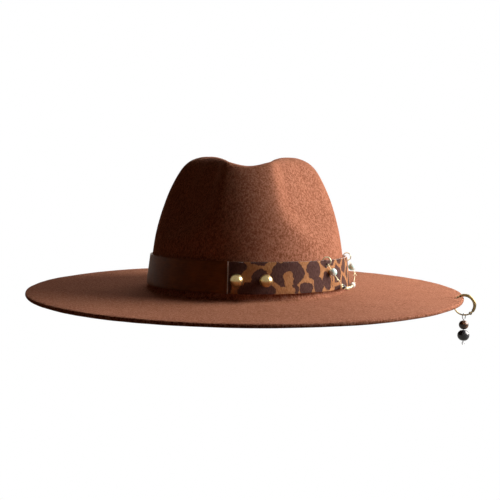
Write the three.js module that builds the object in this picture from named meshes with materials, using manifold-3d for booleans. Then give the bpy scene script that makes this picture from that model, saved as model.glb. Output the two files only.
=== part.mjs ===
// Wide-brim wool-felt fedora with a leather hat band, a hair-on leopard-print overlay strap, two ball
// studs, a beaded swag between two rings, and a hinged hoop with a bead charm through the brim.
// Millimetres, +Z up. Origin: centre of the head opening, level with the underside of the brim.
// The front of the hat faces -Y.
import * as THREE from "three";
import { mergeVertices } from "three/addons/utils/BufferGeometryUtils.js";
import Module from "manifold-3d";

const wasm = await Module();
wasm.setup();

// ---- driving dimensions -------------------------------------------------------------------------
const HEAD_HALF_WIDTH = 84.4; // inside of the sweatband at the crown's foot
const HEAD_HALF_LENGTH = 100.4;
const SWEATBAND_THICK = 1.2;
const SWEATBAND_LOW = -4; // lower edge, from the crown's foot
const SWEATBAND_HIGH = 32;
const FELT_THICK = 2.6; // crown wall
const BRIM_THICK = 3.4;
const BRIM_WIDTH = 102.5; // from the crown's foot to the cut edge
const BRIM_OFF_CENTRE = 2.1; // the cut edge stands this far to the left of the crown's centre
const BRIM_EDGE_ROUND = 0.8;
const FOOT_RADIUS = 4; // hollow curve between crown and brim
const CROWN_HEIGHT = 116; // from the foot to the top of the open crown
const WALL_TAPER = 0.00145; // share of the foot's size that the wall leans in, per mm of height
const WALL_STRAIGHT = 34; // height of the straight wall that carries the bands
const CREASE_FLOOR = 96.7; // lowest point of the centre crease, from the crown's foot
const CREASE_END_RISE = 7; // how far the crease's floor rises to its front and back ends
const CREASE_SIDE_RISE = 14.5; // how far its sides rise, CREASE_HALF_WIDTH out
const CREASE_HALF_WIDTH = 28;
const CREASE_BOTTOM = 0.3; // share of that half width over which the bottom is rounded
const PINCH_DEPTH = 12;
const PINCH_ANGLE = 35; // middle of each front pinch, round the crown from the right side
const PINCH_SHARE = 0.7; // and up the crown
const PINCH_FRONT = 36; // its reach round the crown towards the front, in degrees
const PINCH_BACK = 27; // and towards the back
const PINCH_DOWN = 0.36; // and down the crown, as a share of the crown's height

const BAND_LOW = 0.7; // lower edge of the bands at the sides, from the crown's foot
const BAND_RISE = 1.6; // how much higher the bands sit at the front than at the sides
const BAND_HEIGHT = 25;
const BAND_THICK = 1.8;
const STRAP_HEIGHT = 24.8;
const STRAP_THICK = 1.5;
const STRAP_LEAD = 15; // how far the strap reaches past the front and rear centre lines
const FIT_GAP = 0.3; // clearance between touching pieces

const STUD_BALL_RADIUS = 5.2;
const STUD_POST_RADIUS = 2;
const STUD_OFFSETS = [-7.4, 12.8]; // across the front, from the centre line
const STUD_HEIGHT = 9.6; // above the band's lower edge
const SCREW_HEAD_RADIUS = 4;
const SCREW_HEAD_THICK = 0.9;
const SCREW_SHANK_RADIUS = 1.1;
const RIVET_OFFSETS = [-8, 8]; // across the back, from the centre line
const RIVET_CAP_RADIUS = 4.2;

const RING_RADIUS = 3.5; // middle of the wire
const RING_WIRE_RADIUS = 0.5;
const RING_DROP = 0.8; // ring centre below the strap's upper edge
const RING_STAND = 0.3; // ring centre outside the strap's face
const RING_HOLE_RADIUS = 1.35; // in the strap, below each ring's centre
const RING_SLOT_WIDTH = 4; // in the band behind each ring
const RING_ANGLES = [44, 3]; // round the band, from the right side towards the front
const PIN_WIRE_RADIUS = 0.3;
const EYE_RADIUS = 1.3;
const AMAZONITE_RADIUS = 3.2;
const PEARL_RADIUS = 2.5;
const SPINEL_RADIUS = 1.8;
const GOLD_BEAD_RADIUS = 1.3;

const HOOP_ANGLE = 17.2; // round the brim, from the right side towards the front
const HOOP_RADIUS = 8.3;
const HOOP_CENTRE_OUT = 0.2; // hoop centre beyond the brim's cut edge
const HOOP_CENTRE_DROP = 2.8; // hoop centre below the underside of the brim
const HOOP_WIRE_RADIUS = 0.6;
const BOW_RADIUS = 1.4;
const BOW_END_RADIUS = 1.1;
const HOLE_RADIUS = 2.3;
const KNUCKLE_ANGLE = -52;
const CATCH_ANGLE = 116;
const HINGE_PIN_RADIUS = 0.4;
const CHARM_WIRE_RADIUS = 0.4;
const BROWN_BEAD_RADIUS = 4;
const BROWN_BEAD_LENGTH = 7.6;
const DARK_BEAD_RADIUS = 5;
const DARK_BEAD_LENGTH = 9.2;

// ---- sizes that follow --------------------------------------------------------------------------
const WALL_BUILD = SWEATBAND_THICK + FIT_GAP + FELT_THICK;
const FOOT_HALF_WIDTH = HEAD_HALF_WIDTH + WALL_BUILD;
const FOOT_HALF_LENGTH = HEAD_HALF_LENGTH + WALL_BUILD;
const FOOT_Z = BRIM_THICK + FOOT_RADIUS;
const STRAP_FACE = FIT_GAP + BAND_THICK + FIT_GAP + STRAP_THICK; // outside of the felt to strap face
const rad = THREE.MathUtils.degToRad;

// ---- finishes -----------------------------------------------------------------------------------
const finish = (color, roughness, metalness = 0) =>
  new THREE.MeshStandardMaterial({ color, roughness, metalness });
const felt = finish(0x8a4a30, 0.95);
const bandLeather = finish(0x6b3a22, 0.5);
const sweatLeather = finish(0x3b2418, 0.6);
const leopardHide = finish(0xb07a45, 0.8);
const brass = finish(0xb8863b, 0.25, 1);
const paleGold = finish(0xd9c38a, 0.25, 1);
const antiqueBrass = finish(0x8a6a35, 0.35, 1);
const steel = finish(0xb0b0b0, 0.3, 1);
const amazonite = finish(0x9fc7b4, 0.35);
const pearl = finish(0xe8e2d8, 0.2);
const darkStone = finish(0x1f1e22, 0.25);
const bandedStone = finish(0x5a3520, 0.3);

// ---- helpers ------------------------------------------------------------------------------------
function piece(name, geometry, material) {
  const mesh = new THREE.Mesh(geometry, material);
  mesh.name = name;
  return mesh;
}

function welded(geometry) {
  geometry.deleteAttribute("normal");
  geometry.deleteAttribute("uv");
  return mergeVertices(geometry, 1e-4);
}

function solid(geometry) {
  const whole = welded(geometry);
  const vertProperties = new Float32Array(whole.attributes.position.array);
  const triVerts = new Uint32Array(whole.index.array);
  return new wasm.Manifold(new wasm.Mesh({ numProp: 3, vertProperties, triVerts }));
}

function geometryOf(manifold) {
  const mesh = manifold.getMesh();
  const geometry = new THREE.BufferGeometry();
  geometry.setAttribute("position", new THREE.BufferAttribute(mesh.vertProperties, 3));
  geometry.setIndex(new THREE.BufferAttribute(mesh.triVerts, 1));
  return geometry;
}

function cut(geometry, ...tools) {
  return geometryOf(tools.reduce((body, tool) => body.subtract(solid(tool)), solid(geometry)));
}

// Joins rows of points into one closed skin. A row of one point is a pole; otherwise the first and
// last rows meet each other.
function skin(rows) {
  const points = rows.flat();
  const starts = rows.map((_, i) => rows.slice(0, i).reduce((sum, row) => sum + row.length, 0));
  const at = (i, j) => starts[i] + (rows[i].length === 1 ? 0 : j % rows[i].length);
  const index = [];
  const around = Math.max(...rows.map((row) => row.length));
  const closed = rows[0].length > 1;
  for (let i = 0; i < rows.length - (closed ? 0 : 1); i++) {
    const next = (i + 1) % rows.length;
    for (let j = 0; j < around; j++) {
      const [a, b, c, d] = [at(i, j), at(i, j + 1), at(next, j + 1), at(next, j)];
      if (rows[next].length > 1) index.push(a, d, c);
      if (rows[i].length > 1) index.push(a, c, b);
    }
  }
  const geometry = new THREE.BufferGeometry().setFromPoints(points);
  geometry.setIndex(index);
  return geometry;
}

// A turned piece about local Z, from [radius, height] pairs that start and end on the axis or close
// on themselves. The pairs run anticlockwise with the axis on the left.
function turned(pairs, sides) {
  const outline = pairs.map(([r, z]) => new THREE.Vector2(r, z));
  return new THREE.LatheGeometry(outline, sides).rotateX(Math.PI / 2);
}

function wire(points, radius, sides, steps, closed = false) {
  const section = new THREE.Shape().absarc(0, 0, radius, 0, 2 * Math.PI);
  const path = new THREE.CatmullRomCurve3(points, closed, "centripetal");
  const options = { steps, curveSegments: sides / 2, bevelEnabled: false, extrudePath: path };
  return new THREE.ExtrudeGeometry(section, options);
}

function ringOf(radius, wireRadius, sides, steps) {
  return new THREE.TorusGeometry(radius, wireRadius, sides, steps);
}

function arc(centre, radius, fromDeg, toDeg, count) {
  return Array.from({ length: count + 1 }, (_, i) => {
    const a = rad(fromDeg + ((toDeg - fromDeg) * i) / count);
    return [centre[0] + radius * Math.cos(a), centre[1] + radius * Math.sin(a)];
  });
}

// A drilled ball or barrel about local Z.
function bead(radius, halfLength, bore, sides, steps) {
  const reach = Math.asin(Math.min(0.95, bore / radius));
  const outline = [[bore, -halfLength * Math.cos(reach)]];
  for (let i = 0; i <= steps; i++) {
    const a = -Math.PI / 2 + reach + ((Math.PI - 2 * reach) * i) / steps;
    outline.push([radius * Math.cos(a), halfLength * Math.sin(a)]);
  }
  outline.push([bore, halfLength * Math.cos(reach)], outline[0]);
  return turned(outline.slice(1), sides);
}

// ---- felt ---------------------------------------------------------------------------------------
const FELT_SEGMENTS = 72;

function leanAt(height) {
  return 1 - WALL_TAPER * height;
}

// The open crown's side, as [share of the foot's half width, height above the foot].
function crownOutline() {
  const top = CROWN_HEIGHT;
  const shape = [
    [leanAt(WALL_STRAIGHT), WALL_STRAIGHT],
    [0.912, 0.45 * top],
    [0.832, 0.647 * top],
    [0.735, 0.806 * top],
    [0.63, 0.92 * top],
    [0.47, 0.97 * top],
    [0.24, 0.992 * top],
    [0, top],
  ].map(([share, height]) => new THREE.Vector2(share, height / FOOT_HALF_WIDTH));
  const dome = new THREE.SplineCurve(shape).getSpacedPoints(17);
  const wall = [0, 0.5].map((f) => new THREE.Vector2(leanAt(f * WALL_STRAIGHT),
    (f * WALL_STRAIGHT) / FOOT_HALF_WIDTH));
  return [...wall, ...dome].map((p) => p.multiplyScalar(FOOT_HALF_WIDTH));
}

function bump(q, power) {
  return Math.exp(-Math.pow(Math.abs(q), power));
}

// How far a point sinks so that it lies under a ceiling, with a rounded turn where the two meet.
function sunk(over, turn) {
  return turn * Math.log1p(Math.exp(over / turn));
}

// Depth of a front pinch: an oval hollow with a crisp edge in front and below, a soft one behind.
function pinchAt(around, share) {
  const turn = around - rad(PINCH_ANGLE);
  const across = turn / rad(turn > 0 ? PINCH_FRONT : PINCH_BACK);
  const up = share - PINCH_SHARE;
  const inside = Math.max(0, 1 - Math.hypot(across, Math.min(up, 0) / PINCH_DOWN));
  const wall = THREE.MathUtils.lerp(0.5, 0.22, THREE.MathUtils.smoothstep(across, -0.6, 0.4));
  return PINCH_DEPTH * (1 - bump(inside / wall, 1.5)) * bump(Math.max(up, 0) / 0.33, 4);
}

// Presses the centre crease and the two front pinches into a point of the open crown that lies a
// given depth inside its outer face.
function creased(point, inset) {
  const height = point.z - FOOT_Z;
  const share = height / CROWN_HEIGHT;
  if (share < 0.2) return point;
  const fromMiddle = (point.y + 0.11 * FOOT_HALF_LENGTH) / (0.55 * FOOT_HALF_LENGTH);
  const across = Math.hypot(point.x / CREASE_HALF_WIDTH, CREASE_BOTTOM) ** 1.3 - CREASE_BOTTOM ** 1.3;
  const valley = CREASE_FLOOR + CREASE_END_RISE * fromMiddle ** 2 + CREASE_SIDE_RISE * across;
  const crease = sunk(height - valley + inset, 1.6);

  const around = Math.atan2(-point.y / FOOT_HALF_LENGTH, Math.abs(point.x) / FOOT_HALF_WIDTH);
  const pinch = pinchAt(around, share);
  const inward = new THREE.Vector2(-point.x / FOOT_HALF_WIDTH, -point.y / FOOT_HALF_LENGTH);
  inward.setLength(pinch);
  return new THREE.Vector3(point.x + inward.x, point.y + inward.y, point.z - crease);
}

function oval(halfWidth, halfLength, z, inset = 0, shift = 0) {
  if (halfWidth < 1e-6) return [creased(new THREE.Vector3(0, 0, z), inset)];
  return Array.from({ length: FELT_SEGMENTS }, (_, i) => {
    const a = (2 * Math.PI * i) / FELT_SEGMENTS;
    return creased(new THREE.Vector3(halfWidth * Math.cos(a) + shift, halfLength * Math.sin(a), z), inset);
  });
}

function crownRings(inset) {
  const outline = crownOutline();
  const longer = FOOT_HALF_LENGTH / FOOT_HALF_WIDTH;
  return outline.map((p, i) => {
    const before = outline[Math.max(i - 1, 0)];
    const after = outline[Math.min(i + 1, outline.length - 1)];
    const normal = new THREE.Vector2(after.y - before.y, before.x - after.x).normalize();
    if (i === outline.length - 1) normal.set(0, 1);
    const x = p.x - inset * normal.x;
    return oval(x, p.x * longer - inset * normal.x, FOOT_Z + p.y - inset * normal.y, inset);
  });
}

function brimRing(out, z) {
  const shift = -BRIM_OFF_CENTRE * Math.max(0, (out - FOOT_RADIUS) / (BRIM_WIDTH - FOOT_RADIUS));
  return oval(FOOT_HALF_WIDTH + out, FOOT_HALF_LENGTH + out, z, 0, shift);
}

function feltBody() {
  const foot = [30, 60, 90].map(rad);
  const topFoot = foot.map((a) => [FOOT_RADIUS * (1 - Math.cos(a)), FOOT_Z - FOOT_RADIUS * Math.sin(a)]);
  const under = foot.map((a) => [FOOT_RADIUS - (FOOT_RADIUS + FELT_THICK) * Math.cos(a),
    FOOT_Z * (1 - Math.sin(a))]);
  const brim = [0.25, 0.5, 0.75, 0.94].map((f) => FOOT_RADIUS + (BRIM_WIDTH - FOOT_RADIUS) * f);
  const edge = [[BRIM_WIDTH - BRIM_EDGE_ROUND, BRIM_THICK], [BRIM_WIDTH, BRIM_THICK - BRIM_EDGE_ROUND],
    [BRIM_WIDTH, BRIM_EDGE_ROUND], [BRIM_WIDTH - BRIM_EDGE_ROUND, 0]];
  const rows = [
    ...crownRings(0).reverse(),
    ...topFoot.map(([out, z]) => brimRing(out, z)),
    ...brim.map((out) => brimRing(out, BRIM_THICK)),
    ...edge.map(([out, z]) => brimRing(out, z)),
    ...brim.reverse().map((out) => brimRing(out, 0)),
    ...under.reverse().map(([out, z]) => brimRing(out, z)),
    ...crownRings(FELT_THICK),
  ];
  const hole = new THREE.CylinderGeometry(HOLE_RADIUS, HOLE_RADIUS, 4 * BRIM_THICK, 16);
  hole.rotateX(Math.PI / 2).translate(holeAxisOut(), 0, 0).applyMatrix4(hoopPlace());
  return cut(skin(rows), hole);
}

// ---- bands --------------------------------------------------------------------------------------
const BAND_STEPS = 48; // straight steps in one turn of a band

// A point on the crown's straight wall: angle from the right side towards the front, height above
// the foot, and distance outside the felt.
function onWall(angleDeg, height, out) {
  const a = rad(angleDeg);
  const lean = leanAt(height);
  return new THREE.Vector3((FOOT_HALF_WIDTH * lean + out) * Math.cos(a),
    -(FOOT_HALF_LENGTH * lean + out) * Math.sin(a), FOOT_Z + height);
}

// The same on the bands, with the height taken from their lower edge.
function onBand(angleDeg, height, out) {
  return onWall(angleDeg, height + BAND_LOW + BAND_RISE * Math.sin(rad(angleDeg)), out);
}

// The angle round the wall of a point a given way across the front (or the back) of the hat.
function angleAcross(x, back = false) {
  const a = THREE.MathUtils.radToDeg(Math.acos(x / FOOT_HALF_WIDTH));
  return back ? -a : a;
}

// A place on the bands: local X along them, local Y up the wall, local Z out of it.
function bandPlace(angleDeg, height, out) {
  const here = onBand(angleDeg, height, out);
  const along = onBand(angleDeg - 0.5, height, out).sub(onBand(angleDeg + 0.5, height, out)).normalize();
  const up = onBand(angleDeg, height + 1, out).sub(here).normalize();
  const outward = new THREE.Vector3().crossVectors(along, up).negate();
  if (outward.dot(here) < 0) outward.negate();
  const side = new THREE.Vector3().crossVectors(up, outward);
  return new THREE.Matrix4().makeBasis(side, up, outward).setPosition(here);
}

// A flat strip wound round the wall; `on` is onWall or onBand.
function woundStrip(on, fromDeg, toDeg, low, high, inner, thick, steps) {
  const rows = Array.from({ length: steps + 1 }, (_, i) => {
    const a = fromDeg + ((toDeg - fromDeg) * i) / steps;
    return [on(a, low, inner), on(a, high, inner), on(a, high, inner + thick), on(a, low, inner + thick)];
  });
  const middle = (row) => [row.reduce((sum, p) => sum.add(p), new THREE.Vector3()).divideScalar(4)];
  return skin([middle(rows[0]), ...rows, middle(rows[steps])]);
}

const fasteners = [
  ...STUD_OFFSETS.map((x) => bandPlace(angleAcross(x), STUD_HEIGHT, 0)),
  ...RIVET_OFFSETS.map((x) => bandPlace(angleAcross(x, true), BAND_HEIGHT / 2, 0)),
];

function fastenerHole(place) {
  const hole = new THREE.CylinderGeometry(STUD_POST_RADIUS + FIT_GAP, STUD_POST_RADIUS + FIT_GAP, 16, 12);
  return hole.rotateX(Math.PI / 2).applyMatrix4(place);
}

function fastenerSeat(place) {
  const deep = FIT_GAP + SCREW_HEAD_THICK + FIT_GAP;
  const radius = SCREW_HEAD_RADIUS + FIT_GAP;
  const seat = new THREE.CylinderGeometry(radius, radius, 2 * deep, 16);
  return seat.rotateX(Math.PI / 2).applyMatrix4(place);
}

function ringCentre(angleDeg) {
  return onBand(angleDeg, STRAP_HEIGHT - RING_DROP, STRAP_FACE + RING_STAND);
}

function ringSlot(angleDeg) {
  const place = bandPlace(angleDeg, STRAP_HEIGHT - RING_DROP, 0);
  const height = 2 * (RING_RADIUS + 1.5);
  const slot = new THREE.BoxGeometry(RING_SLOT_WIDTH, height, 3 * (BAND_THICK + FIT_GAP));
  return slot.applyMatrix4(place);
}

function ringHole(angleDeg) {
  const place = bandPlace(angleDeg, STRAP_HEIGHT - RING_DROP - 0.91 * RING_RADIUS, STRAP_FACE);
  const hole = new THREE.CylinderGeometry(RING_HOLE_RADIUS, RING_HOLE_RADIUS, 3 * STRAP_THICK, 12);
  return hole.rotateX(Math.PI / 2).applyMatrix4(place);
}

function sweatband() {
  const inner = -WALL_BUILD;
  return woundStrip(onWall, -89.6, 269.6, SWEATBAND_LOW, SWEATBAND_HIGH, inner, SWEATBAND_THICK,
    BAND_STEPS);
}

function hatband() {
  const strip = woundStrip(onBand, -89.7, 269.7, 0, BAND_HEIGHT, FIT_GAP, BAND_THICK, BAND_STEPS);
  return cut(strip, ...fasteners.map(fastenerHole), ...fasteners.map(fastenerSeat),
    ...RING_ANGLES.map(ringSlot));
}

function leopardStrap() {
  const from = angleAcross(-STRAP_LEAD, true);
  const to = angleAcross(-STRAP_LEAD);
  const strip = woundStrip(onBand, from, to, 0, STRAP_HEIGHT, STRAP_FACE - STRAP_THICK, STRAP_THICK, 30);
  return cut(strip, ...fasteners.map(fastenerHole), ...RING_ANGLES.map(ringHole));
}

// ---- studs and rivets, about local Z, with the felt's surface at z = 0 ---------------------------
const SCREW_TOP = FIT_GAP + SCREW_HEAD_THICK; // back of the stack, where the post starts

function screwBase() {
  const shank = STRAP_FACE - FIT_GAP;
  return turned([[0, FIT_GAP], [SCREW_HEAD_RADIUS, FIT_GAP], [SCREW_HEAD_RADIUS, SCREW_TOP],
    [SCREW_SHANK_RADIUS, SCREW_TOP], [SCREW_SHANK_RADIUS, shank], [0, shank]], 16);
}

function sleeve(bore) {
  return [[bore, SCREW_TOP + FIT_GAP], [STUD_POST_RADIUS, SCREW_TOP + FIT_GAP],
    [STUD_POST_RADIUS, STRAP_FACE + FIT_GAP]];
}

function ballStud() {
  const bore = SCREW_SHANK_RADIUS + FIT_GAP;
  const seat = STRAP_FACE + FIT_GAP;
  const collar = 3.4;
  const neck = 2.4;
  const centre = seat + 1.6 + STUD_BALL_RADIUS * 0.86;
  const ball = arc([0, centre], STUD_BALL_RADIUS, -62, 90, 8);
  return turned([...sleeve(bore), [collar, seat], [collar, seat + 0.8], [neck, seat + 1], ...ball,
    [0, seat], [bore, seat], [bore, SCREW_TOP + FIT_GAP]], 16);
}

function rivetCap() {
  const bore = SCREW_SHANK_RADIUS + FIT_GAP;
  const seat = STRAP_FACE + FIT_GAP;
  const dome = [0, 30, 60, 90].map(rad).map((a) => [RIVET_CAP_RADIUS * Math.cos(a),
    seat + 0.5 + 1.1 * Math.sin(a)]);
  return turned([...sleeve(bore), [RIVET_CAP_RADIUS, seat], ...dome,
    [0, seat], [bore, seat], [bore, SCREW_TOP + FIT_GAP]], 18);
}

function addFasteners(group) {
  const names = ["front_left", "front_right"];
  names.forEach((name, i) => {
    group.add(piece(`ball_stud_${name}`, ballStud().applyMatrix4(fasteners[i]), brass));
    group.add(piece(`stud_screw_${name}`, screwBase().applyMatrix4(fasteners[i]), brass));
  });
  ["rear_left", "rear_right"].forEach((name, i) => {
    group.add(piece(`rivet_cap_${name}`, rivetCap().applyMatrix4(fasteners[i + 2]), brass));
    group.add(piece(`rivet_post_${name}`, screwBase().applyMatrix4(fasteners[i + 2]), brass));
  });
}

// ---- swag ---------------------------------------------------------------------------------------
// A straight wire along local Z between two eyes whose centres are a given length apart; the eyes
// lie in the local XZ plane.
function eyePin(length, eyeRadius, wireRadius) {
  const half = length / 2;
  const turn = (sign) => arc([0, 0], eyeRadius, 50, 360, 9).map(([c, s]) =>
    new THREE.Vector3(sign * s, 0, sign * (half - c)));
  const stem = [0.5, 0, -0.5].map((f) => new THREE.Vector3(0, 0, f * 2 * (half - eyeRadius - 0.7)));
  return wire([...turn(1), ...stem, ...turn(-1).reverse()], wireRadius, 6, 24);
}

// Stands a local Z axis between two points, with local X as near as can be to a given direction.
function between(from, to, side) {
  const z = to.clone().sub(from).normalize();
  const x = side.clone().addScaledVector(z, -side.dot(z)).normalize();
  const y = new THREE.Vector3().crossVectors(z, x);
  return new THREE.Matrix4().makeBasis(x, y, z).setPosition(from.clone().add(to).multiplyScalar(0.5));
}

// The swag's links, from the front ring to the side ring. Each point is where two links meet, as
// [angle round the band, height above the foot, distance outside the strap's face].
const SWAG_POINTS = [
  [39.8, 10.6, 5.2],
  [35.0, 5.2, 3.6],
  [30.6, 2.2, 3.0],
  [26.4, 1.2, 2.6],
  [22.2, 0.9, 2.6],
  [18.0, 1.1, 2.8],
  [12.4, 2.4, 3.4],
  [7.4, 9.6, 5.4],
];
const SWAG_LINKS = [
  { name: "amazonite_front", bead: AMAZONITE_RADIUS, stone: amazonite },
  { name: "swag_connector_front" },
  { name: "spinel", bead: SPINEL_RADIUS, stone: darkStone },
  { name: "gold_bead_1", bead: GOLD_BEAD_RADIUS, stone: paleGold },
  { name: "gold_bead_2", bead: GOLD_BEAD_RADIUS, stone: paleGold },
  { name: "gold_bead_3", bead: GOLD_BEAD_RADIUS, stone: paleGold },
  { name: "pearl", bead: PEARL_RADIUS, stone: pearl },
  { name: "swag_connector_side" },
  { name: "amazonite_side", bead: AMAZONITE_RADIUS, stone: amazonite },
];

function swagChord() {
  return ringCentre(RING_ANGLES[1]).sub(ringCentre(RING_ANGLES[0])).normalize();
}

// Where the swag's end link hangs from a ring: the join, and the direction of the ring's wire there.
function ringEnd(angleDeg, next, slack) {
  const centre = ringCentre(angleDeg);
  const pull = next.clone().sub(centre).projectOnPlane(swagChord()).normalize();
  const onWire = centre.addScaledVector(pull, RING_RADIUS);
  const run = next.clone().sub(onWire).normalize();
  const join = onWire.addScaledVector(run, FIT_GAP / 2 - slack);
  return { join, wireWay: new THREE.Vector3().crossVectors(pull, swagChord()) };
}

function addSwag(group) {
  const chord = swagChord();
  const facing = new THREE.Quaternion().setFromUnitVectors(new THREE.Vector3(0, 0, 1), chord);
  ["ring_front", "ring_side"].forEach((name, i) => {
    const ring = ringOf(RING_RADIUS, RING_WIRE_RADIUS, 6, 20).applyQuaternion(facing);
    const centre = ringCentre(RING_ANGLES[i]);
    group.add(piece(name, ring.translate(centre.x, centre.y, centre.z), paleGold));
  });
  const slack = EYE_RADIUS - PIN_WIRE_RADIUS - FIT_GAP / 2;
  const joins = SWAG_POINTS.map(([angle, height, out]) => onWall(angle, height, STRAP_FACE + out));
  const front = ringEnd(RING_ANGLES[0], joins[0], slack);
  const rear = ringEnd(RING_ANGLES[1], joins[joins.length - 1], slack);
  joins.unshift(front.join);
  joins.push(rear.join);
  const last = SWAG_LINKS.length - 1;
  SWAG_LINKS.forEach((link, i) => {
    const [from, to] = [joins[i], joins[i + 1]];
    const outward = i === 0 ? front.wireWay : i === last ? rear.wireWay : from.clone().setZ(0).normalize();
    const run = to.clone().sub(from).normalize();
    const side = i % 2 ? outward : new THREE.Vector3().crossVectors(run, outward);
    const place = between(from, to, side);
    const length = from.distanceTo(to) - 2 * slack;
    const pin = eyePin(length, EYE_RADIUS, PIN_WIRE_RADIUS).applyMatrix4(place);
    const isConnector = !link.bead;
    group.add(piece(isConnector ? link.name : `${link.name}_pin`, pin, paleGold));
    if (isConnector) return;
    const ball = bead(link.bead, link.bead, PIN_WIRE_RADIUS + FIT_GAP, 12, 7);
    group.add(piece(`${link.name}_bead`, ball.applyMatrix4(place), link.stone));
  });
}

// ---- hoop and charm -----------------------------------------------------------------------------
// Local X points out of the brim, local Z up; the origin is on the brim's cut edge at z = 0.
function hoopPlace() {
  const a = rad(HOOP_ANGLE);
  const [halfWidth, halfLength] = [FOOT_HALF_WIDTH + BRIM_WIDTH, FOOT_HALF_LENGTH + BRIM_WIDTH];
  const out = new THREE.Vector3(Math.cos(a) / halfWidth, -Math.sin(a) / halfLength, 0).normalize();
  const up = new THREE.Vector3(0, 0, 1);
  const side = new THREE.Vector3().crossVectors(up, out);
  return new THREE.Matrix4().makeBasis(out, side, up)
    .setPosition(halfWidth * Math.cos(a) - BRIM_OFF_CENTRE, -halfLength * Math.sin(a), 0);
}

const hoopCentre = [HOOP_CENTRE_OUT, -HOOP_CENTRE_DROP];

// Where the hoop's wire crosses the middle of the felt, along local X.
function holeAxisOut() {
  const rise = BRIM_THICK / 2 + HOOP_CENTRE_DROP;
  return HOOP_CENTRE_OUT - Math.sqrt(HOOP_RADIUS ** 2 - rise ** 2);
}

function hoopArc(fromDeg, toDeg, count) {
  return arc(hoopCentre, HOOP_RADIUS, fromDeg, toDeg, count).map(([x, z]) => new THREE.Vector3(x, 0, z));
}

function knuckle() {
  const [x, z] = arc(hoopCentre, HOOP_RADIUS, KNUCKLE_ANGLE, KNUCKLE_ANGLE, 1)[0];
  return new THREE.Vector3(x, 0, z);
}

function crossRod(radius, length, sides) {
  const at = knuckle();
  return new THREE.CylinderGeometry(radius, radius, length, sides).translate(at.x, 0, at.z);
}

const EYE_WIDTH = 1.1;

function hoopWire() {
  const sweep = 360 + KNUCKLE_ANGLE;
  const path = hoopArc(sweep - 3, CATCH_ANGLE - 8, 26);
  const eye = crossRod(HINGE_PIN_RADIUS + 0.75, EYE_WIDTH, 12);
  const shape = solid(wire(path, HOOP_WIRE_RADIUS, 8, 30)).add(solid(eye));
  return geometryOf(shape.subtract(solid(crossRod(HINGE_PIN_RADIUS + 0.1, 4, 12))));
}

function hoopBow() {
  const points = hoopArc(KNUCKLE_ANGLE + 6, CATCH_ANGLE, 22);
  const bow = wire(points, 1, 10, 22);
  const [cx, cz] = hoopCentre;
  const position = bow.attributes.position;
  const p = new THREE.Vector3();
  for (let i = 0; i < position.count; i++) {
    p.fromBufferAttribute(position, i);
    const angle = Math.atan2(p.z - cz, p.x - cx);
    const share = (angle - rad(KNUCKLE_ANGLE)) / rad(CATCH_ANGLE - KNUCKLE_ANGLE);
    const radius = BOW_END_RADIUS + (BOW_RADIUS - BOW_END_RADIUS) * Math.sin(Math.PI * share);
    const middle = new THREE.Vector3(cx + HOOP_RADIUS * Math.cos(angle), 0, cz + HOOP_RADIUS * Math.sin(angle));
    p.sub(middle).multiplyScalar(radius).add(middle);
    position.setXYZ(i, p.x, p.y, p.z);
  }
  const barrel = crossRod(HINGE_PIN_RADIUS + 0.9, 3, 12);
  const whole = solid(bow).add(solid(barrel));
  const gap = crossRod(HINGE_PIN_RADIUS + 2.2, EYE_WIDTH + 2 * FIT_GAP, 14);
  const bore = crossRod(HINGE_PIN_RADIUS + 0.1, 4, 12);
  const socket = wire(hoopArc(CATCH_ANGLE + 6, CATCH_ANGLE - 8 - 3, 8), HOOP_WIRE_RADIUS + 0.25, 8, 8);
  return geometryOf([gap, bore, socket].reduce((body, tool) => body.subtract(solid(tool)), whole));
}

const CHARM_LOOP_HALF = 1.8; // half width of the charm's wire loop
const CHARM_LOOP_RISE = 2.5; // half height of the charm's wire loop
const BEAD_GAP = 0.35;

// Heights down the charm, from the hoop's lowest point.
function charmStations() {
  const bottom = -HOOP_CENTRE_DROP - HOOP_RADIUS;
  const loopTop = bottom + HOOP_WIRE_RADIUS + FIT_GAP + CHARM_WIRE_RADIUS;
  const loopFoot = loopTop - 2 * CHARM_LOOP_RISE;
  const brown = loopFoot - CHARM_WIRE_RADIUS - BEAD_GAP - BROWN_BEAD_LENGTH / 2;
  const dark = brown - BROWN_BEAD_LENGTH / 2 - BEAD_GAP - DARK_BEAD_LENGTH / 2;
  const end = dark - DARK_BEAD_LENGTH / 2 - BEAD_GAP;
  return { loopTop, loopFoot, brown, dark, end };
}

function charmPin() {
  const { loopTop, loopFoot, end } = charmStations();
  const middle = (loopTop + loopFoot) / 2;
  const loop = arc([0, 0], 1, -55, 270, 14).map(([c, s]) =>
    new THREE.Vector3(CHARM_LOOP_HALF * c, 0, middle + CHARM_LOOP_RISE * s));
  const eye = EYE_RADIUS - 0.1;
  const low = end - CHARM_WIRE_RADIUS - eye;
  const tail = arc([0, low], eye, 90, 385, 9).map(([x, z]) => new THREE.Vector3(x, 0, z));
  const stem = [0.25, 0.5, 0.75].map((f) => new THREE.Vector3(0, 0, loopFoot + (end - loopFoot) * f));
  const path = [...loop, ...stem, ...tail];
  return wire(path, CHARM_WIRE_RADIUS, 6, 44).rotateZ(rad(48));
}

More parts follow.
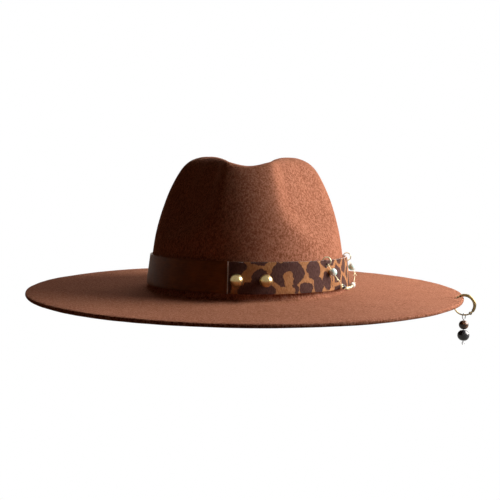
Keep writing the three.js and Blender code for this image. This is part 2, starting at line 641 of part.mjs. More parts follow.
function addHoop(group) {
  const place = hoopPlace();
  const { brown, dark } = charmStations();
  const bore = CHARM_WIRE_RADIUS + FIT_GAP;
  const brownBead = bead(BROWN_BEAD_RADIUS, BROWN_BEAD_LENGTH / 2, bore, 14, 8).translate(0, 0, brown);
  const darkBead = bead(DARK_BEAD_RADIUS, DARK_BEAD_LENGTH / 2, bore, 14, 8).translate(0, 0, dark);
  const hung = (geometry) => geometry.translate(HOOP_CENTRE_OUT, 0, 0).applyMatrix4(place);
  group.add(piece("hoop_wire", hoopWire().applyMatrix4(place), antiqueBrass));
  group.add(piece("hoop_bow", hoopBow().applyMatrix4(place), antiqueBrass));
  group.add(piece("hoop_hinge_pin", crossRod(HINGE_PIN_RADIUS, 3.2, 12).applyMatrix4(place), steel));
  group.add(piece("charm_pin", hung(charmPin()), steel));
  group.add(piece("charm_brown_bead", hung(brownBead), bandedStone));
  group.add(piece("charm_dark_bead", hung(darkBead), darkStone));
}

// ---- assembly -----------------------------------------------------------------------------------
const hat = new THREE.Group();
hat.add(piece("felt_body", feltBody(), felt));
hat.add(piece("sweatband", sweatband(), sweatLeather));
hat.add(piece("leather_hatband", hatband(), bandLeather));
hat.add(piece("leopard_strap", leopardStrap(), leopardHide));
addFasteners(hat);
addSwag(hat);
addHoop(hat);

export default hat;
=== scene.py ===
# %% [markdown]
# # A wide-brim felt fedora with a trimmed band
# The hat is one piece of wool felt, blocked into a creased crown and a flat brim. A leather band goes
# round the crown's foot, with a leopard-print hide strap over one side of it, two ball studs, a swag of
# beads between two rings, and a hinged hoop with a charm through the brim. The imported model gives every
# piece its true place and size. Here each piece gets its fine surface and its finish.

# %% Load the frame
import math

import bpy
from mathutils import Matrix, Vector


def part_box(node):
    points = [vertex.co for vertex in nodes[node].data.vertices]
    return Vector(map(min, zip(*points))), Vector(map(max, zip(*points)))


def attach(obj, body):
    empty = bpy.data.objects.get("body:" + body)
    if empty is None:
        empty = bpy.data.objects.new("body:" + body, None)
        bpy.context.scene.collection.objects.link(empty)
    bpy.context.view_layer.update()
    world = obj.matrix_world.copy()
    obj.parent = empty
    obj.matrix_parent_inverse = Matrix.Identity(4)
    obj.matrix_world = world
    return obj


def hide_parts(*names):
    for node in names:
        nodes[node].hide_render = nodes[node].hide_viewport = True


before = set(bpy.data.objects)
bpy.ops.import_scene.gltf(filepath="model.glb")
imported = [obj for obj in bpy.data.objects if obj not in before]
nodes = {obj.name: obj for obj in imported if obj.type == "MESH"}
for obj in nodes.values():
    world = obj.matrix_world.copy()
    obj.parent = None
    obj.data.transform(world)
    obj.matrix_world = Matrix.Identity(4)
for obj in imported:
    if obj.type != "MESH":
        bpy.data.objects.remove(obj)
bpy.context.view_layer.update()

MM = 0.001

# %% [markdown]
# ## The camera
# The hat is seen from its front, from about seven tenths of a metre, a little above the brim, with a
# normal lens. The view leans down by a few degrees and is rolled slightly, as a hand-held one is. A camera
# could be turned by three angles. Here it is aimed by its direction of view, which is easier to correct,
# because moving the aim doesn't change the roll.

# %% Camera
CAMERA_DISTANCE = 0.6985
CAMERA_HEIGHT = 0.0848
LENS_MM = 55.65
AIM_DOWN_DEG = 3.95
AIM_RIGHT_DEG = 0.17
ROLL_DEG = 0.75


def add_camera():
    data = bpy.data.cameras.new("camera")
    data.lens = LENS_MM
    data.sensor_width = 36
    data.clip_start = 0.01
    camera = bpy.data.objects.new("camera", data)
    bpy.context.scene.collection.objects.link(camera)
    right, down = math.radians(AIM_RIGHT_DEG), math.radians(AIM_DOWN_DEG)
    aim = Vector((math.tan(right), 1, -math.tan(down)))
    turn = aim.to_track_quat("-Z", "Y").to_matrix().to_4x4()
    roll = Matrix.Rotation(math.radians(ROLL_DEG), 4, "Z")
    camera.matrix_world = Matrix.Translation((0, -CAMERA_DISTANCE, CAMERA_HEIGHT)) @ turn @ roll
    bpy.context.scene.camera = camera


add_camera()
print("camera stands", round(CAMERA_DISTANCE, 3), "m in front of the hat")

# %% [markdown]
# ## The studio
# A white dome and a pale floor give a plain surround. They are only seen, and light nothing, so the hat
# keeps the deep shade that one window on the right gives it. The window is a large area light. A second,
# behind the hat, grazes the brim's top without reaching the crown's front, and a small, weak fill from the
# front keeps the shaded side readable. A room lit by its own walls would be simpler, but it flattens felt,
# whose shape shows only by its shading. Polished metal needs something to mirror, so a second sphere of
# pale walls is there for reflections alone.

# %% Studio
WINDOW_POWER = 9.8  # the three lights, in watts
REAR_POWER = 11.0
FILL_POWER = 0.08
AMBIENT = 0.045  # warm light that the hat's surroundings send back from all sides
REFLECTED = 0.45  # brightness of the walls that the metal mirrors
DOME_RADIUS = 5.0
WALLS_RADIUS = 4.9
FLOOR_RADIUS = 4.8
FLOOR_HEIGHT = -1.5  # low enough for a look at the hat from below
scene = bpy.context.scene
scene.view_settings.view_transform = "Standard"


def glow(name, colour, strength):
    material = bpy.data.materials.new(name)
    material.use_nodes = True
    tree = material.node_tree
    tree.nodes.clear()
    light = tree.nodes.new("ShaderNodeEmission")
    light.inputs["Color"].default_value = (*colour, 1)
    light.inputs["Strength"].default_value = strength
    out = tree.nodes.new("ShaderNodeOutputMaterial")
    tree.links.new(light.outputs[0], out.inputs["Surface"])
    return material


def backdrop(piece, name, material, mirrored=False):
    """A stage piece that lights nothing: it is seen, or else only mirrored in the glossy pieces."""
    piece.name = name
    piece.data.materials.append(material)
    piece.visible_camera = not mirrored
    piece.visible_glossy = mirrored
    piece.visible_diffuse = False
    piece.visible_transmission = False
    piece.visible_shadow = False


def add_area(name, place, aim, size, power, colour):
    data = bpy.data.lights.new(name, "AREA")
    data.shape = "RECTANGLE"
    data.size, data.size_y = size
    data.energy = power
    data.color = colour
    light = bpy.data.objects.new(name, data)
    scene.collection.objects.link(light)
    way = Vector(aim) - Vector(place)
    light.matrix_world = Matrix.Translation(place) @ way.to_track_quat("-Z", "Y").to_matrix().to_4x4()


def build_studio():
    bpy.ops.object.select_all(action="DESELECT")
    bpy.ops.mesh.primitive_uv_sphere_add(segments=48, ring_count=24, radius=DOME_RADIUS)
    backdrop(bpy.context.object, "studio_dome", glow("dome_white", (1, 1, 1), 1.0))
    bpy.ops.mesh.primitive_uv_sphere_add(segments=48, ring_count=24, radius=WALLS_RADIUS)
    wall_light = glow("wall_light", (1, 0.97, 0.9), REFLECTED)
    backdrop(bpy.context.object, "studio_walls", wall_light, mirrored=True)
    bpy.ops.mesh.primitive_circle_add(vertices=64, radius=FLOOR_RADIUS, fill_type="NGON",
                                      location=(0, 0, FLOOR_HEIGHT))
    backdrop(bpy.context.object, "studio_floor", glow("floor_pale", (1, 1, 1), 1.0))
    add_area("window", (0.62, 0.0, 0.29), (0.02, 0.0, 0.04), (0.52, 0.42), WINDOW_POWER, (1, 0.97, 0.94))
    add_area("rear", (0.15, 1.3, 0.75), (0, 0, 0.0), (1.4, 0.7), REAR_POWER, (1, 0.96, 0.92))
    add_area("fill", (0.15, -1.3, 0.6), (0, 0, 0.05), (0.8, 0.8), FILL_POWER, (1, 0.95, 0.9))
    world = bpy.data.worlds.new("world")
    scene.world = world
    world.use_nodes = True
    world.node_tree.nodes["Background"].inputs["Color"].default_value = (1, 0.5, 0.27, 1)
    world.node_tree.nodes["Background"].inputs["Strength"].default_value = AMBIENT


build_studio()
print("window light:", WINDOW_POWER, "W")

# %% [markdown]
# ## Writing finishes
# A finish is a small graph of shader nodes. It could be drawn by hand in the node editor, or written as
# long lists of nodes and links. Here `Value` wraps one socket so that Python arithmetic adds the Math
# nodes, and `Finish` makes any other node from its type, its settings and its inputs, so that a finish
# reads like a formula.


# %% Shader helpers
class Value:
    """A number socket that plain arithmetic can be written on."""

    def __init__(self, tree, socket):
        self.tree, self.socket = tree, socket

    def math(self, operation, *values):
        node = self.tree.nodes.new("ShaderNodeMath")
        node.operation = operation
        for slot, value in zip(node.inputs, values):
            if isinstance(value, Value):
                self.tree.links.new(value.socket, slot)
            else:
                slot.default_value = value
        return Value(self.tree, node.outputs[0])

    def __add__(self, other):
        return self.math("ADD", self, other)

    def __sub__(self, other):
        return self.math("SUBTRACT", self, other)

    def __rsub__(self, other):
        return self.math("SUBTRACT", other, self)

    def __mul__(self, other):
        return self.math("MULTIPLY", self, other)

    __radd__ = __add__
    __rmul__ = __mul__

    def step(self, low, high):
        node = self.tree.nodes.new("ShaderNodeMapRange")
        node.interpolation_type = "SMOOTHSTEP"
        self.tree.links.new(self.socket, node.inputs["Value"])
        node.inputs["From Min"].default_value = low
        node.inputs["From Max"].default_value = high
        return Value(self.tree, node.outputs["Result"])


class Finish:
    """One material with a Principled shader at its end."""

    def __init__(self, name, **constants):
        self.material = bpy.data.materials.new(name)
        self.material.use_nodes = True
        self.tree = self.material.node_tree
        self.shader = self.tree.nodes["Principled BSDF"]
        for socket, value in constants.items():
            self.shader.inputs[socket.replace("_", " ")].default_value = value
        self.place = self.node("ShaderNodeTexCoord", out="Object")

    def node(self, kind, settings=None, inputs=None, out=0):
        node = self.tree.nodes.new(kind)
        for key, value in (settings or {}).items():
            setattr(node, key, value)
        for key, value in (inputs or {}).items():
            self.feed(node.inputs[key], value)
        return Value(self.tree, node.outputs[out])

    def feed(self, slot, value):
        if isinstance(value, Value):
            self.tree.links.new(value.socket, slot)
        else:
            slot.default_value = value

    def stretched(self, scale, turn=(0, 0, 0), place=None):
        return self.node("ShaderNodeMapping", {}, {"Vector": place or self.place, "Scale": scale,
                                                   "Rotation": turn})

    def noise(self, scale, detail=2, rough=0.5, place=None):
        return self.node("ShaderNodeTexNoise", {}, {"Vector": place or self.place, "Scale": scale,
                                                   "Detail": detail, "Roughness": rough})

    def cells(self, scale):
        return self.node("ShaderNodeTexVoronoi", {"feature": "F1"},
                         {"Vector": self.place, "Scale": scale}, "Distance")

    def mix(self, share, first, second):
        return self.node("ShaderNodeMix", {"data_type": "RGBA"}, {0: share, 6: first, 7: second}, 2)

    def colour(self, value):
        self.feed(self.shader.inputs["Base Color"], value)

    def rough(self, value):
        self.feed(self.shader.inputs["Roughness"], value)

    def bump(self, height, distance, strength=1.0):
        raised = self.node("ShaderNodeBump", {}, {"Height": height, "Distance": distance,
                                                  "Strength": strength}, "Normal")
        self.feed(self.shader.inputs["Normal"], raised)


def rgb(red, green, blue):
    return (red, green, blue, 1)


# %% [markdown]
# ## Modelling helpers
# Small turned and bent pieces are already the right shape, only faceted. They could be turned again from a
# profile, but then they would have to be fitted to their places. Copying one, merging its loose triangles,
# joining them to quads and subdividing gives the smooth piece exactly where it belongs. Subdividing pulls
# a round section in a little, so a slight swell puts the lost radius back.


# %% Modelling helpers
def pick_only(piece):
    bpy.ops.object.select_all(action="DESELECT")
    piece.select_set(True)
    bpy.context.view_layer.objects.active = piece


def finish_with(piece, kind, **settings):
    pick_only(piece)
    modifier = piece.modifiers.new(kind.lower(), kind)
    for key, value in settings.items():
        setattr(modifier, key, value)
    bpy.ops.object.modifier_apply(modifier=modifier.name)


def copy_of(node, name):
    piece = nodes[node].copy()
    piece.data = nodes[node].data.copy()
    piece.name = name
    piece.parent = None
    piece.matrix_world = Matrix.Identity(4)
    piece.data.materials.clear()
    bpy.context.scene.collection.objects.link(piece)
    pick_only(piece)
    bpy.ops.object.mode_set(mode="EDIT")
    bpy.ops.mesh.select_all(action="SELECT")
    bpy.ops.mesh.remove_doubles(threshold=0.002 * MM)
    bpy.ops.mesh.tris_convert_to_quads(face_threshold=0.7, shape_threshold=0.7)
    bpy.ops.mesh.normals_make_consistent(inside=False)
    bpy.ops.object.mode_set(mode="OBJECT")
    return piece


def settle(piece, node, body, material, smooth_deg=40):
    """The piece stands for a CAD node, takes its finish and rides on its body."""
    pick_only(piece)
    if not piece.data.materials:
        piece.data.materials.append(material)
    bpy.ops.object.shade_smooth_by_angle(angle=math.radians(smooth_deg))
    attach(piece, body)
    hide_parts(node)


def refined(node, name, levels, swell=0.0):
    piece = copy_of(node, name)
    finish_with(piece, "SUBSURF", levels=levels, render_levels=levels)
    if swell:
        finish_with(piece, "DISPLACE", strength=swell, mid_level=0.0)
    return piece


def recast(node, name, voxel, rounds):
    """Fills and rounds a piece that is joined from several shapes, as a casting is."""
    piece = copy_of(node, name)
    finish_with(piece, "REMESH", mode="VOXEL", voxel_size=voxel)
    finish_with(piece, "SMOOTH", factor=0.5, iterations=rounds)
    return piece


# %% [markdown]
# ## Felt
# Wool felt has no weave. It is matted fibre with a short nap, so it shows fine specks of lighter and
# darker wool, scatters light from its fibre ends, and has no gloss. Real hair strands could make the nap,
# but it is a fraction of a millimetre long, so two sizes of noise in the colour and the bump do it. The
# crown and brim are one piece, refined from the blocked shape, so the crease and the pinches stay as they
# were pressed. The cloud of small unevenness comes from the hands that shaped it.


# %% Felt
UNEVENNESS = 1.0 * MM
UNEVEN_OVER = 0.05  # metres from one swell of the cloud to the next


def felt_finish():
    felt = Finish("wool_felt", Sheen_Weight=0.1, Sheen_Roughness=0.4, Roughness=0.95,
                  Sheen_Tint=rgb(1.0, 0.5, 0.3), Specular_IOR_Level=0.02)
    nap = felt.noise(1000, 3, 0.8, felt.stretched((1, 1, 0.6)))
    clump = felt.noise(520, 4, 0.75, felt.stretched((1, 1, 0.7)))
    blotch = felt.noise(38, 3, 0.6)
    tone = (nap * 0.55 + clump * 0.45).step(0.41, 0.61)
    deep = felt.mix(blotch.step(0.3, 0.7), rgb(0.180, 0.060, 0.029), rgb(0.225, 0.081, 0.042))
    felt.colour(felt.mix(tone, deep, rgb(0.45, 0.196, 0.124)))
    felt.bump(nap * 0.6 + clump * 0.4, 0.9 * MM, 0.5)
    return felt.material


def felt_body():
    piece = refined("felt_body", "felt_crown_and_brim", 2)
    unevenness = bpy.data.textures.new("hand_shaping", "CLOUDS")
    unevenness.noise_scale = UNEVEN_OVER
    finish_with(piece, "DISPLACE", texture=unevenness, texture_coords="LOCAL", strength=UNEVENNESS,
                mid_level=0.5)
    settle(piece, "felt_body", "hat", felt_finish(), 60)
    return piece


felt_piece = felt_body()
print("felt faces:", len(felt_piece.data.polygons))

# %% [markdown]
# ## Bands
# Each band is a flat strip wound on the crown's straight wall, so it is an upright oval ring that leans in
# a little. A curve with a flat bevel could follow the oval, but its wall would stand upright. Here a circle
# is scaled to the oval, then extruded up row by row and scaled again, which gives the lean. The strip then
# gets its thickness and rounded edges. The hide strap is cut at its two ends before it gets thick.


# %% Band shapes
FOOT_HALF_WIDTH = 88.5 * MM
FOOT_HALF_LENGTH = 104.5 * MM
FOOT_Z = 7.4 * MM
WALL_LEAN = 1.45  # share of the foot's size lost per metre of height
BAND_LOW = 0.7 * MM
BAND_RISE = 1.6 * MM  # the bands sit this much higher at the front than at the sides
BAND_TURNS = 192
BAND_ROWS = 8
BAND_HEIGHT = 25 * MM
BAND_THICK = 1.8 * MM
BAND_OUT = 2.1 * MM  # the outer face of the leather band, from the felt
STRAP_HEIGHT = 24.8 * MM
STRAP_THICK = 1.5 * MM
STRAP_OUT = 3.9 * MM
SWEATBAND_THICK = 1.2 * MM
SWEATBAND_IN = 2.9 * MM  # the sweatband's outer face lies this far inside the felt's outer face
SLIT = (1 * MM, 20 * MM, 100 * MM)  # between the two ends of a band, at the back
RING_SLOT = (5.4 * MM, 4 * MM, 11 * MM)  # in the leather behind each ring
RING_SLOT_IN = 3.5 * MM  # from the ring's middle inwards to the slot's
RING_HOLE = (8 * MM, 2.4 * MM, 2.4 * MM)  # through the strap
RING_HOLE_DROP = 3.2 * MM  # below the ring's middle


def wall_ring(height, out):
    """Half width and half length of the wall at a height above the crown's foot, a way outside it."""
    lean = 1 - WALL_LEAN * height
    return FOOT_HALF_WIDTH * lean + out, FOOT_HALF_LENGTH * lean + out


def wound_strip(name, low, high, out, rise):
    """A closed strip round the wall; it is tilted so that it rises towards the front."""
    shift = WALL_LEAN * rise * FOOT_HALF_LENGTH
    size = wall_ring(low, out)
    bpy.ops.object.select_all(action="DESELECT")
    bpy.ops.mesh.primitive_circle_add(vertices=BAND_TURNS, radius=1)
    piece = bpy.context.object
    piece.name = name
    bpy.ops.object.mode_set(mode="EDIT")
    bpy.ops.transform.resize(value=(*size, 1), center_override=(0, 0, 0))
    bpy.ops.transform.translate(value=(0, shift, FOOT_Z + low))
    tilt = math.atan(rise / FOOT_HALF_LENGTH)
    bpy.ops.transform.rotate(value=tilt, orient_axis="X", center_override=(0, 0, FOOT_Z + low))
    for row in range(BAND_ROWS):
        height = low + (high - low) * (row + 1) / BAND_ROWS
        after = wall_ring(height, out)
        up = (0, 0, (high - low) / BAND_ROWS)
        bpy.ops.mesh.extrude_region_move(TRANSFORM_OT_translate={"value": up})
        bpy.ops.transform.resize(value=(after[0] / size[0], after[1] / size[1], 1),
                                 center_override=(0, shift, FOOT_Z + height))
        size = after
    bpy.ops.mesh.select_all(action="SELECT")
    bpy.ops.mesh.normals_make_consistent(inside=False)
    bpy.ops.object.mode_set(mode="OBJECT")
    return piece


def cut_away(piece, size, place, turn=0.0):
    """Cuts an upright block out of a piece."""
    bpy.ops.object.select_all(action="DESELECT")
    bpy.ops.mesh.primitive_cube_add(size=1, location=place, rotation=(0, 0, turn), scale=size)
    block = bpy.context.object
    finish_with(piece, "BOOLEAN", operation="DIFFERENCE", object=block, solver="EXACT")
    bpy.data.objects.remove(block)


def cut_ends(piece, x):
    """Keeps what lies to the right of a plane across the hat."""
    pick_only(piece)
    bpy.ops.object.mode_set(mode="EDIT")
    bpy.ops.mesh.select_all(action="SELECT")
    bpy.ops.mesh.bisect(plane_co=(x, 0, 0), plane_no=(1, 0, 0), clear_inner=True)
    bpy.ops.object.mode_set(mode="OBJECT")


def face_outward(piece):
    """Turns an open strip's faces over if they look inwards."""
    face = piece.data.polygons[0]
    if face.normal.dot(Vector((face.center.x, face.center.y, 0))) < 0:
        piece.data.flip_normals()


def thicken(piece, thick):
    face_outward(piece)
    finish_with(piece, "SOLIDIFY", thickness=thick, offset=-1, use_rim=True)


def round_edges(piece, width):
    finish_with(piece, "BEVEL", width=width, segments=3, limit_method="ANGLE", angle_limit=math.radians(50))


# %% Leather
def leather_finish(name, dark, light, gloss):
    leather = Finish(name, Specular_IOR_Level=0.06)
    pores = leather.cells(1500)
    cloud = leather.noise(55, 4, 0.6)
    streak = leather.noise(160, 3, 0.6, leather.stretched((1, 1, 5)))
    leather.colour(leather.mix((cloud * 0.6 + streak * 0.4).step(0.3, 0.7), dark, light))
    leather.rough(cloud * 0.2 + gloss)
    leather.bump(pores * 0.7 + streak * 0.3, 0.12 * MM, 0.5)
    return leather.material


def ring_places():
    """Middle of each ring and its angle round the hat."""
    for ring in ("ring_front", "ring_side"):
        low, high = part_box(ring)
        middle = (Vector(low) + Vector(high)) / 2
        yield middle, math.atan2(middle.y, middle.x)


def leather_band():
    """The band, with a slit at the back and a slot behind each ring."""
    piece = wound_strip("leather_hatband_strip", BAND_LOW, BAND_LOW + BAND_HEIGHT, BAND_OUT, BAND_RISE)
    thicken(piece, BAND_THICK)
    cut_away(piece, SLIT, (0, FOOT_HALF_LENGTH, 20 * MM))
    for middle, angle in ring_places():
        inward = middle - Vector((math.cos(angle), math.sin(angle), 0)) * RING_SLOT_IN
        cut_away(piece, RING_SLOT, inward, angle)
    round_edges(piece, 0.3 * MM)
    brown = leather_finish("band_leather", rgb(0.135, 0.043, 0.010), rgb(0.235, 0.078, 0.020), 0.36)
    settle(piece, "leather_hatband", "hat", brown)
    return piece


print("leather band faces:", len(leather_band().data.polygons))

# %% [markdown]
# ## Leopard hide
# The strap is short-haired hide with a printed leopard pattern: large dark brown patches set so close
# that only narrow tan lanes are left, one of them a broad open horseshoe. A cell pattern alone gives even
# spots, which isn't how this print looks, so across the front each patch is listed, by its middle
# and its half sizes along and across the strap. Round the side and back the patches come from cells. Noise
# roughens every rim. The hair lies slantwise and catches light in fine streaks. The cut edges show the
# pale back of the hide.

# %% Leopard patches, in mm: along the strap from its front end, up from its lower edge, half sizes
PATCHES = [
    (5, 21, 9.5, 6.5),
    (0, 8, 3.6, 9),
    (25, 25.5, 7.5, 3.6),
    (23, 2.5, 15, 7.5),
    (26, 10, 7.5, 9.5),
    (49, 16, 15, 10.5),
    (74, 18, 8, 7.5),
    (53.5, 3, 4, 5),
    (65, 3.5, 7, 5),
    (78.5, 6, 6, 6.5),
    (89.5, 8, 5.6, 7.5),
    (90, 23, 7, 4),
]
OPENINGS = [(49, 11, 4.4, 7), (50, 0, 4.6, 6), (42, 25.5, 3, 2)]
PLACED_TO = 96  # mm along the strap that the patches above cover
RIM = 0.06  # how soft a patch's rim is, as a share of its size
MM_PER_UV = 100  # the strap is laid out in tenths of a metre
WANDER = (0.07, 0.06, 0)  # how far noise moves the pattern, along and up the strap


# %% Leopard finish
def nearness(along, up, patch):
    """1 at the middle of an oval patch, 0 on its rim, less outside."""
    x, y, half_along, half_up = patch
    across = (along - x) * (1 / half_along)
    above = (up - y) * (1 / half_up)
    return 1 - (across * across + above * above)


def patchwork(along, up, patches):
    """1 on any of the patches, 0 between them, with a narrow soft rim."""
    best = nearness(along, up, patches[0])
    for patch in patches[1:]:
        best = best.math("MAXIMUM", best, nearness(along, up, patch))
    return best.step(-RIM, RIM)


def hide_finish():
    hide = Finish("leopard_hide", Roughness=0.8, Specular_IOR_Level=0.12)
    strap = hide.node("ShaderNodeUVMap", {"uv_map": "strap"})
    rough = {"Vector": strap, "Scale": 16, "Detail": 5, "Roughness": 0.65}
    wobble = hide.node("ShaderNodeTexNoise", {}, rough, "Color")
    bent = hide.node("ShaderNodeVectorMath", {"operation": "MULTIPLY_ADD"},
                     {0: wobble, 1: WANDER, 2: strap}, "Vector")
    middle = [MM_PER_UV * reach / 2 for reach in WANDER]
    along = hide.node("ShaderNodeSeparateXYZ", {}, {0: bent}, "X") * MM_PER_UV - middle[0]
    up = hide.node("ShaderNodeSeparateXYZ", {}, {0: bent}, "Y") * MM_PER_UV - middle[1]
    placed = patchwork(along, up, PATCHES)
    opened = patchwork(along, up, OPENINGS)
    cell_kind = {"feature": "DISTANCE_TO_EDGE", "voronoi_dimensions": "2D"}
    lane = hide.node("ShaderNodeTexVoronoi", cell_kind, {"Vector": bent, "Scale": 7.5})
    spread = lane.step(0.10, 0.125)
    side = along.step(PLACED_TO, PLACED_TO + 1)
    dark = placed * (1 - opened) * (1 - side) + spread * side
    hair = hide.noise(2.6, 4, 0.7, hide.stretched((60, 14, 1), (0, 0, 0.6), strap))
    patchy = hide.noise(60, 3, 0.6)
    tan = hide.mix(hair.step(0.3, 0.7), rgb(0.27, 0.115, 0.042), rgb(0.56, 0.27, 0.115))
    umber = hide.mix(hair.step(0.3, 0.7), rgb(0.035, 0.013, 0.010), rgb(0.110, 0.047, 0.038))
    tan = hide.mix(patchy.step(0.35, 0.7) * 0.5, tan, rgb(0.22, 0.080, 0.028))
    hide.colour(hide.mix(dark, tan, umber))
    hide.bump(hair, 0.3 * MM, 0.6)
    return hide.material


def pale_edge_finish():
    """The hide's raw back, which shows at its cut edges."""
    edge = Finish("hide_cut_edge", Roughness=0.8)
    grain = edge.noise(900, 3, 0.7)
    edge.colour(edge.mix(grain.step(0.3, 0.7), rgb(0.52, 0.49, 0.51), rgb(0.85, 0.82, 0.83)))
    edge.bump(grain, 0.15 * MM, 0.6)
    return edge.material


# %% [markdown]
# ## Laying the strap out flat
# The pattern was printed on flat hide, so the finish needs to know how far along the strap a point lies. An
# ordinary unwrap would stretch the print where the oval turns sharply. Here the oval's length is added up
# in small steps, and each point is given its own length along it.

# %% Leopard strap
OVAL_STEPS = 720


def lay_out_strap(piece):
    """UVs in tenths of a metre: along the strap from its front end, and up from its lower edge."""
    half_width, half_length = wall_ring(BAND_LOW + 12 * MM, STRAP_OUT)
    turn = 2 * math.pi
    lengths = [0.0]
    for i in range(OVAL_STEPS):
        a = turn * (i + 0.5) / OVAL_STEPS
        chord = math.hypot(half_width * math.sin(a), half_length * math.cos(a)) * turn / OVAL_STEPS
        lengths.append(lengths[-1] + chord)

    def length_at(point):
        a = math.atan2(point.y / half_length, point.x / half_width) % turn
        at = a / turn * OVAL_STEPS
        whole = int(at)
        return lengths[whole] + (at - whole) * (lengths[min(whole + 1, OVAL_STEPS)] - lengths[whole])

    front_end = length_at(Vector((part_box("leopard_strap")[0][0], -half_length, 0)))
    layer = piece.data.uv_layers.new(name="strap")
    for loop in piece.data.loops:
        point = piece.data.vertices[loop.vertex_index].co
        along = (length_at(point) - front_end) % lengths[-1]
        tilt = BAND_RISE * point.y / FOOT_HALF_LENGTH
        layer.data[loop.index].uv = (along * 10, (point.z + tilt - FOOT_Z - BAND_LOW) * 10)


def paint_cut_edges(piece, material):
    """Upward and end faces of the strap show the hide's pale back."""
    piece.data.materials.append(material)
    end = min(v.co.x for v in piece.data.vertices)
    for face in piece.data.polygons:
        at_end = face.normal.x < -0.2 and face.center.x < end + 0.8 * MM
        if face.normal.z > 0.2 or at_end:
            face.material_index = 1


def leopard_strap():
    """The strap over the band's right half, with a small hole for the lower part of each ring."""
    piece = wound_strip("leopard_hide_strap", BAND_LOW, BAND_LOW + STRAP_HEIGHT, STRAP_OUT, BAND_RISE)
    cut_ends(piece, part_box("leopard_strap")[0][0])
    thicken(piece, STRAP_THICK)
    for middle, angle in ring_places():
        cut_away(piece, RING_HOLE, middle - Vector((0, 0, RING_HOLE_DROP)), angle)
    round_edges(piece, 0.7 * MM)
    lay_out_strap(piece)
    piece.data.materials.append(hide_finish())
    paint_cut_edges(piece, pale_edge_finish())
    settle(piece, "leopard_strap", "hat", None)
    return piece


print("leopard strap faces:", len(leopard_strap().data.polygons))

# %% [markdown]
# ## Sweatband
# Inside the opening a thin dark leather sweatband lies against the felt, from about the brim's upper
# face to a little above the outer band. It shows when the hat is turned over. It is wound by the
# same steps as the outer bands, on the wall's inner side, because it has the same lean.

# %% Sweatband
SWEATBAND_LOW = -4 * MM
SWEATBAND_HIGH = 32 * MM


def sweatband():
    piece = wound_strip("sweatband_leather", SWEATBAND_LOW, SWEATBAND_HIGH, -SWEATBAND_IN, 0)
    thicken(piece, SWEATBAND_THICK)
    cut_away(piece, SLIT, (0, FOOT_HALF_LENGTH, 20 * MM))
    round_edges(piece, 0.25 * MM)
    dark = leather_finish("sweatband_leather", rgb(0.030, 0.014, 0.008), rgb(0.062, 0.030, 0.017), 0.45)
    settle(piece, "sweatband", "hat", dark)
    return piece


print("sweatband faces:", len(sweatband().data.polygons))

# %% [markdown]
# ## Metal
# The ball studs are polished brass, the swag's wires a paler gold, the hoop an antiqued brass whose
# hollows have darkened, and the charm's pin plain steel. All are bare metal, so their look is mostly the
# room that they reflect. An even metal would look like a computer's. Fine scratches and handling keep the
# reflection from being perfect, so one recipe makes all four from two tints and two roughnesses.

# %% Metal finishes
WEAR_SCALE = 900  # patches of wear to a metre


def metal_finish(name, tint, shade, low, high):
    """A bare metal between two tints, whose roughness wanders from low to high."""
    metal = Finish(name, Metallic=1.0)
    wear = metal.noise(WEAR_SCALE, 4, 0.65)
    scratch = metal.noise(WEAR_SCALE * 2, 2, 0.6, metal.stretched((1, 1, 6)))
    metal.colour(metal.mix(wear.step(0.3, 0.75), shade, tint))
    metal.rough(wear * (high - low) + low)
    metal.bump(scratch, 0.02 * MM, 0.3)
    return metal.material


brass = metal_finish("polished_brass", rgb(0.74, 0.58, 0.30), rgb(0.60, 0.44, 0.19), 0.22, 0.38)
pale_gold = metal_finish("pale_gold", rgb(0.88, 0.84, 0.62), rgb(0.74, 0.69, 0.46), 0.3, 0.5)
antique_brass = metal_finish("antique_brass", rgb(0.52, 0.38, 0.17), rgb(0.20, 0.13, 0.06), 0.22, 0.5)
steel = metal_finish("bright_steel", rgb(0.72, 0.72, 0.73), rgb(0.5, 0.5, 0.52), 0.16, 0.32)
print("metals:", ", ".join(metal.name for metal in (brass, pale_gold, antique_brass, steel)))

# %% [markdown]
# ## Studs and rivets
# The studs are turned on a lathe: a ball on a short neck with a flat collar. The rivets at the back have
# low domed caps. Spinning a profile would make them anew, but their turned shapes are there already, so
# each is smoothed and swelled back to its true radius. The screws and posts behind them hardly show, so
# they keep their plain shapes and take the same brass.


# %% Studs and rivets
def studs_and_rivets():
    for side in ("front_left", "front_right"):
        piece = refined(f"ball_stud_{side}", f"ball_stud_{side}_turned", 2, 0.12 * MM)
        settle(piece, f"ball_stud_{side}", "hat", brass)
    for side in ("rear_left", "rear_right"):
        piece = refined(f"rivet_cap_{side}", f"rivet_cap_{side}_domed", 2, 0.08 * MM)
        settle(piece, f"rivet_cap_{side}", "hat", brass)


def keep_with(material, *names):
    """A CAD node whose shape is right keeps it and takes the finish."""
    for name in names:
        data = nodes[name].data
        data.materials.clear()
        data.materials.append(material)


studs_and_rivets()
fastenings = ("stud_screw_front_left", "stud_screw_front_right",
              "rivet_post_rear_left", "rivet_post_rear_right")
keep_with(brass, *fastenings)
print("fastenings kept:", len(fastenings))

# %% [markdown]
# ## Stones
# Amazonite is a milky blue-green stone with cloudy white patches, the pearl is plain and softly lustrous,
# the swag's small bead and the charm's large one are near-black, and the charm's smaller bead is brown
# with bands round its axis. Plain colour with a gloss would make the pale ones look like painted wood.
# Light goes into them and comes out again nearby, so they have some light scattered under the surface.


# %% Stone finishes
def stone_finish(name, first, second, scale, gloss, **constants):
    """A polished stone, clouded between two colours."""
    stone = Finish(name, Coat_Weight=0.4, **constants)
    cloud = stone.noise(scale, 4, 0.6)
    stone.colour(stone.mix(cloud.step(0.35, 0.65), first, second))
    stone.rough(cloud * 0.15 + gloss)
    stone.bump(cloud, 0.05 * MM, 0.25)
    return stone.material


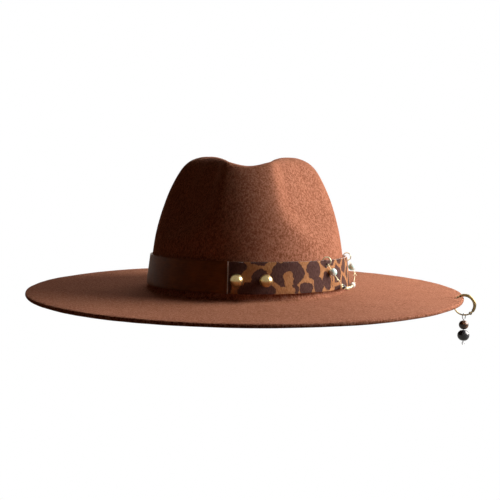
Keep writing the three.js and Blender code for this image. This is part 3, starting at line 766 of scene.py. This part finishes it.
def banded_finish():
    stone = Finish("banded_stone", Coat_Weight=0.3)
    bands = stone.noise(420, 3, 0.55, stone.stretched((0.25, 0.25, 2.2)))
    stone.colour(stone.mix(bands.step(0.38, 0.62), rgb(0.055, 0.024, 0.013), rgb(0.27, 0.12, 0.06)))
    stone.rough(bands * 0.2 + 0.25)
    return stone.material


milky = {"Subsurface_Weight": 1.0, "Subsurface_Scale": 5 * MM, "Subsurface_Radius": (1, 1, 1)}
amazonite = stone_finish("amazonite", rgb(0.40, 0.77, 0.69), rgb(0.80, 0.92, 0.87), 260, 0.30, **milky)
pearl = stone_finish("pearl", rgb(0.76, 0.73, 0.70), rgb(0.90, 0.88, 0.86), 350, 0.18, **milky)
dark_stone = stone_finish("dark_stone", rgb(0.012, 0.012, 0.016), rgb(0.05, 0.05, 0.06), 500, 0.22)
banded_stone = banded_finish()
print("stones:", ", ".join(stone.name for stone in (amazonite, pearl, dark_stone, banded_stone)))

# %% [markdown]
# ## Swag
# The swag is a rosary chain: each bead sits on its own wire with an eye at both ends, and the eyes link.
# A curve could be run through the beads as one thread, but then the eyes would be lost, so each wire is a
# piece of its own. The beads turn on their wires, and each rides on its own body.

# %% Swag
WIRE_SWELL = 0.04 * MM
RING_SWELL = 0.07 * MM
BEAD_SWELL = 0.022  # share of a bead's height


SWAG_BEADS = {
    "amazonite_front": amazonite,
    "spinel": dark_stone,
    "gold_bead_1": pale_gold,
    "gold_bead_2": pale_gold,
    "gold_bead_3": pale_gold,
    "pearl": pearl,
    "amazonite_side": amazonite,
}


def swag():
    for ring in ("ring_front", "ring_side"):
        settle(refined(ring, f"{ring}_wire", 2, RING_SWELL), ring, "swag", pale_gold)
    links = ["swag_connector_front", "swag_connector_side"] + [f"{name}_pin" for name in SWAG_BEADS]
    for link in links:
        settle(refined(link, f"{link}_wire", 1, WIRE_SWELL), link, "swag", pale_gold)
    for name, material in SWAG_BEADS.items():
        low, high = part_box(f"{name}_bead")
        swell = BEAD_SWELL * (high[2] - low[2])
        settle(refined(f"{name}_bead", f"{name}_stone", 2, swell), f"{name}_bead", name, material)


swag()
print("swag beads:", len(SWAG_BEADS))

# %% [markdown]
# ## Hoop and charm
# The hoop is a thick crescent bow hinged to a thin wire that passes through the brim. Subdividing would
# leave a hard line where the knuckles join them. Both are cast, so their joined shapes are filled with
# small cubes and smoothed, which rounds the inner corners as casting does. The charm hangs from the wire on
# its own steel pin.


# %% Hoop and charm
def hoop_and_charm():
    settle(recast("hoop_wire", "hoop_ear_wire", 0.09 * MM, 4), "hoop_wire", "hoop", antique_brass)
    settle(recast("hoop_bow", "hoop_crescent_bow", 0.11 * MM, 6), "hoop_bow", "bow", antique_brass)
    keep_with(steel, "hoop_hinge_pin")
    settle(refined("charm_pin", "charm_wire", 1, 0.05 * MM), "charm_pin", "charm", steel)
    brown = refined("charm_brown_bead", "charm_banded_bead", 2, 0.15 * MM)
    settle(brown, "charm_brown_bead", "brown_bead", banded_stone)
    dark = refined("charm_dark_bead", "charm_large_bead", 2, 0.18 * MM)
    settle(dark, "charm_dark_bead", "dark_bead", dark_stone)


hoop_and_charm()
